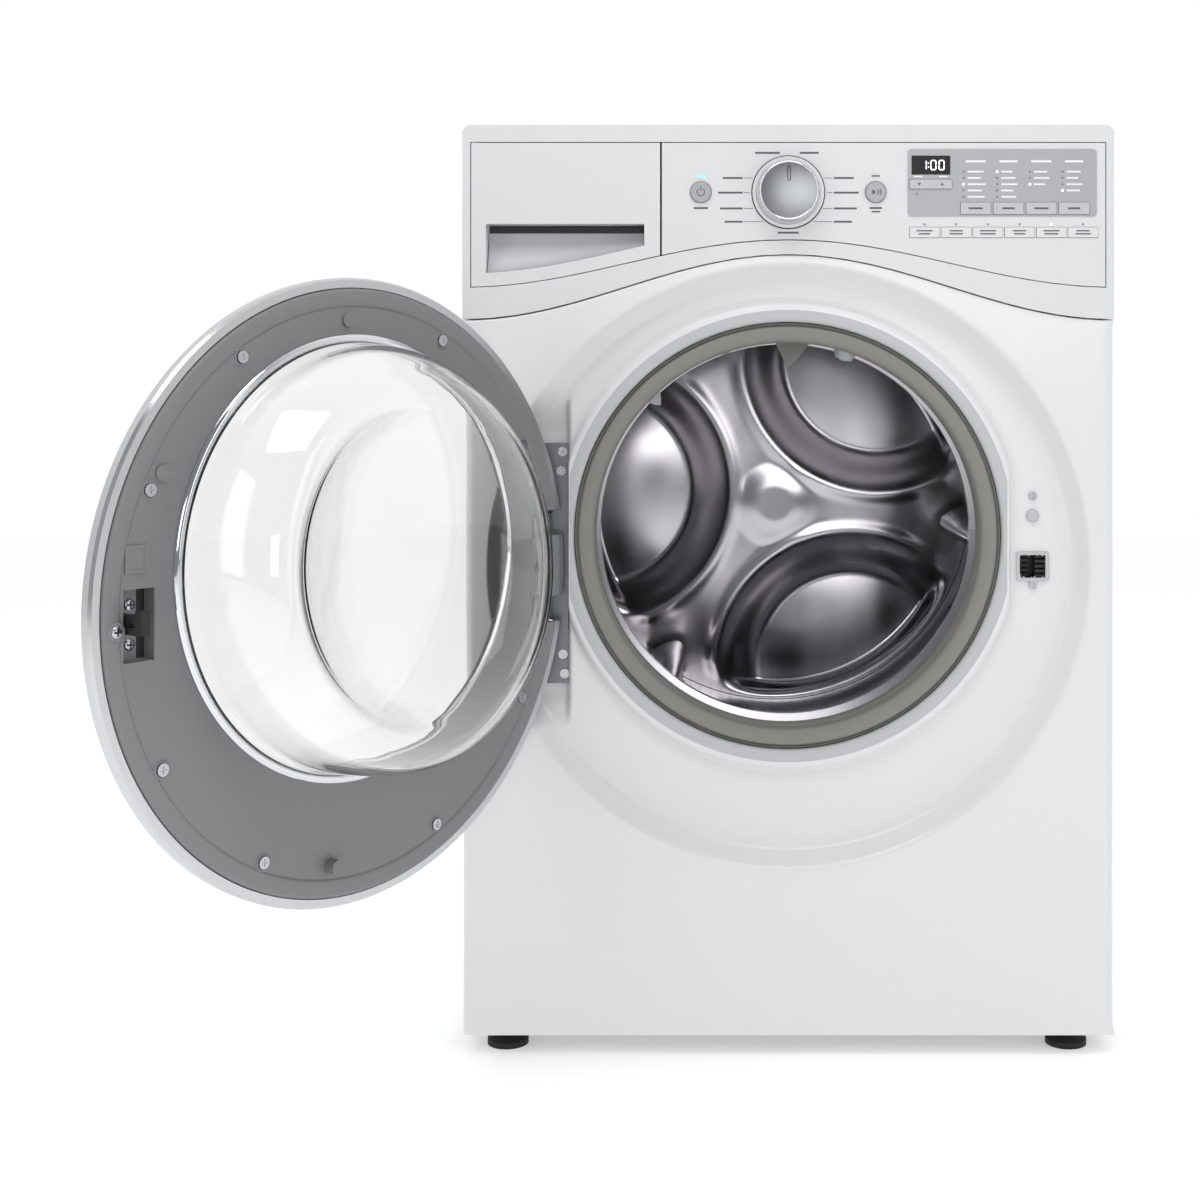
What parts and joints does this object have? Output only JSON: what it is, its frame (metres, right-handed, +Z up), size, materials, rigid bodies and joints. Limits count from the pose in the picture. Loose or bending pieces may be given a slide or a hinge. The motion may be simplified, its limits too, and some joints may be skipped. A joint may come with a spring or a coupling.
{
  "type": "front load washing machine",
  "caption": "Free-standing front load washing machine with an open porthole door, detergent drawer, curved console, steel drum and sprung tub.",
  "frame": {"origin": "floor level under the middle of the cabinet", "axes": "+Z up, -Y out of the front, +X to the right seen from the front"},
  "size_m": [0.9299, 1.2051, 0.981],
  "materials": {
    "white_enamel": "gloss enamel",
    "white_plastic": "gloss",
    "grey_plastic": "satin",
    "light_grey_plastic": "satin",
    "silver_trim": "metallic paint",
    "chrome": "polished",
    "clear_window": "clear",
    "bowl_glass": "clear",
    "gasket_rubber": "matte",
    "black_rubber": "matte",
    "dark_steel": "satin",
    "zinc_steel": "plated",
    "stainless": "polished",
    "tub_plastic": "moulded",
    "concrete": "cast",
    "cast_aluminium": "cast",
    "black_plastic": "moulded",
    "circuit_green": "lacquered",
    "overlay_grey": "printed film",
    "galvanised": "galvanised"
  },
  "bodies": {
    "cabinet": {"cabinet_shell": "white_enamel", "rear_cover": "galvanised", "top_panel": "white_enamel", "base_frame": "galvanised", "front_panel": "white_enamel", "console_frame": "white_plastic", "control_fascia": "white_plastic", "display_overlay": "overlay_grey", "control_board": "circuit_green", "dispenser_housing": "tub_plastic", "inlet_valves": "tub_plastic", "hinge_bracket": "dark_steel", "panel_screws": "zinc_steel", "door_lock": "black_plastic", "levelling_feet": "black_rubber", "drain_pump": "tub_plastic", "power_inlet": "black_plastic", "door_gasket": "gasket_rubber", "suspension_springs": "zinc_steel", "damper_cylinders": "black_plastic", "sump_hose": "black_rubber", "hinge_pins": "zinc_steel"},
    "door": {"door_liner": "grey_plastic", "hinge_arms": "dark_steel", "door_trim_ring": "silver_trim", "door_window": "clear_window", "glass_bowl": "bowl_glass", "glass_ring": "chrome", "door_screws": "zinc_steel", "latch_hook": "zinc_steel", "door_bumpers": "light_grey_plastic"},
    "tub": {"tub_rear": "tub_plastic", "tub_front": "tub_plastic", "counterweights": "concrete", "motor": "cast_aluminium", "bearings": "zinc_steel", "drive_belt": "black_rubber", "damper_rods": "zinc_steel"},
    "drum": {"drum_shell": "stainless", "drum_back": "stainless", "drum_baffles": "stainless", "drum_spider": "cast_aluminium", "drum_pulley": "cast_aluminium"},
    "rotor": {"motor_pulley": "zinc_steel"},
    "drawer": {"drawer_front": "white_plastic", "drawer_tray": "white_plastic"},
    "knob": {"program_knob": "silver_trim"},
    "power": {"power_button": "silver_trim"},
    "start": {"start_button": "silver_trim"},
    "rocker": {"time_rocker": "light_grey_plastic"},
    "modifier_1": {"modifier_key_1": "light_grey_plastic"},
    "modifier_2": {"modifier_key_2": "light_grey_plastic"},
    "modifier_3": {"modifier_key_3": "light_grey_plastic"},
    "modifier_4": {"modifier_key_4": "light_grey_plastic"},
    "option_1": {"option_key_1": "white_plastic"},
    "option_2": {"option_key_2": "white_plastic"},
    "option_3": {"option_key_3": "white_plastic"},
    "option_4": {"option_key_4": "white_plastic"},
    "option_5": {"option_key_5": "white_plastic"},
    "option_6": {"option_key_6": "white_plastic"}
  },
  "joints": [
    {"name": "door_swing", "type": "hinge", "parent": "cabinet", "child": "door", "pos_m": [-0.2597, -0.3665, 0.516], "axis": [0, 0, 1], "range_deg": [0, 125.4]},
    {"name": "tub_bounce", "type": "slide", "parent": "cabinet", "child": "tub", "axis": [0, 0, 1], "range_m": [-0.012, 0.012], "stiffness_N_per_m": 14000, "springref_m": 0.03022, "deforming": ["suspension_springs", "sump_hose", "door_gasket"]},
    {"name": "drum_spin", "type": "hinge", "parent": "tub", "child": "drum", "pos_m": [0, 0, 0.547], "axis": [0, 1, 0], "continuous": true},
    {"name": "motor_spin", "type": "hinge", "parent": "tub", "child": "rotor", "pos_m": [0.04, 0, 0.18], "axis": [0, 1, 0], "continuous": true},
    {"name": "drawer_slide", "type": "slide", "parent": "cabinet", "child": "drawer", "axis": [0, -1, 0], "range_m": [0, 0.22]},
    {"name": "knob_turn", "type": "hinge", "parent": "cabinet", "child": "knob", "pos_m": [0, -0.3725, 0.91], "axis": [0, -1, 0], "continuous": true},
    {"name": "power_press", "type": "slide", "parent": "cabinet", "child": "power", "axis": [0, 1, 0], "range_m": [0, 0.0015], "stiffness_N_per_m": 900},
    {"name": "start_press", "type": "slide", "parent": "cabinet", "child": "start", "axis": [0, 1, 0], "range_m": [0, 0.0015], "stiffness_N_per_m": 900},
    {"name": "modifier_press_1", "type": "slide", "parent": "cabinet", "child": "modifier_1", "axis": [0, 1, 0], "range_m": [0, 0.0008], "stiffness_N_per_m": 900},
    {"name": "modifier_press_2", "type": "slide", "parent": "cabinet", "child": "modifier_2", "axis": [0, 1, 0], "range_m": [0, 0.0008], "stiffness_N_per_m": 900},
    {"name": "modifier_press_3", "type": "slide", "parent": "cabinet", "child": "modifier_3", "axis": [0, 1, 0], "range_m": [0, 0.0008], "stiffness_N_per_m": 900},
    {"name": "modifier_press_4", "type": "slide", "parent": "cabinet", "child": "modifier_4", "axis": [0, 1, 0], "range_m": [0, 0.0008], "stiffness_N_per_m": 900},
    {"name": "option_press_1", "type": "slide", "parent": "cabinet", "child": "option_1", "axis": [0, 1, 0], "range_m": [0, 0.0008], "stiffness_N_per_m": 900},
    {"name": "option_press_2", "type": "slide", "parent": "cabinet", "child": "option_2", "axis": [0, 1, 0], "range_m": [0, 0.0008], "stiffness_N_per_m": 900},
    {"name": "option_press_3", "type": "slide", "parent": "cabinet", "child": "option_3", "axis": [0, 1, 0], "range_m": [0, 0.0008], "stiffness_N_per_m": 900},
    {"name": "option_press_4", "type": "slide", "parent": "cabinet", "child": "option_4", "axis": [0, 1, 0], "range_m": [0, 0.0008], "stiffness_N_per_m": 900},
    {"name": "option_press_5", "type": "slide", "parent": "cabinet", "child": "option_5", "axis": [0, 1, 0], "range_m": [0, 0.0008], "stiffness_N_per_m": 900},
    {"name": "option_press_6", "type": "slide", "parent": "cabinet", "child": "option_6", "axis": [0, 1, 0], "range_m": [0, 0.0008], "stiffness_N_per_m": 900},
    {"name": "rocker_tilt", "type": "hinge", "parent": "cabinet", "child": "rocker", "pos_m": [0.1498, -0.3705, 0.9184], "axis": [0, 0, 1], "range_deg": [-3, 3], "stiffness_Nm_per_rad": 0.08}
  ],
  "couplings": [
    {"joint": "motor_spin", "follows": "drum_spin", "ratio": 12.5}
  ]
}
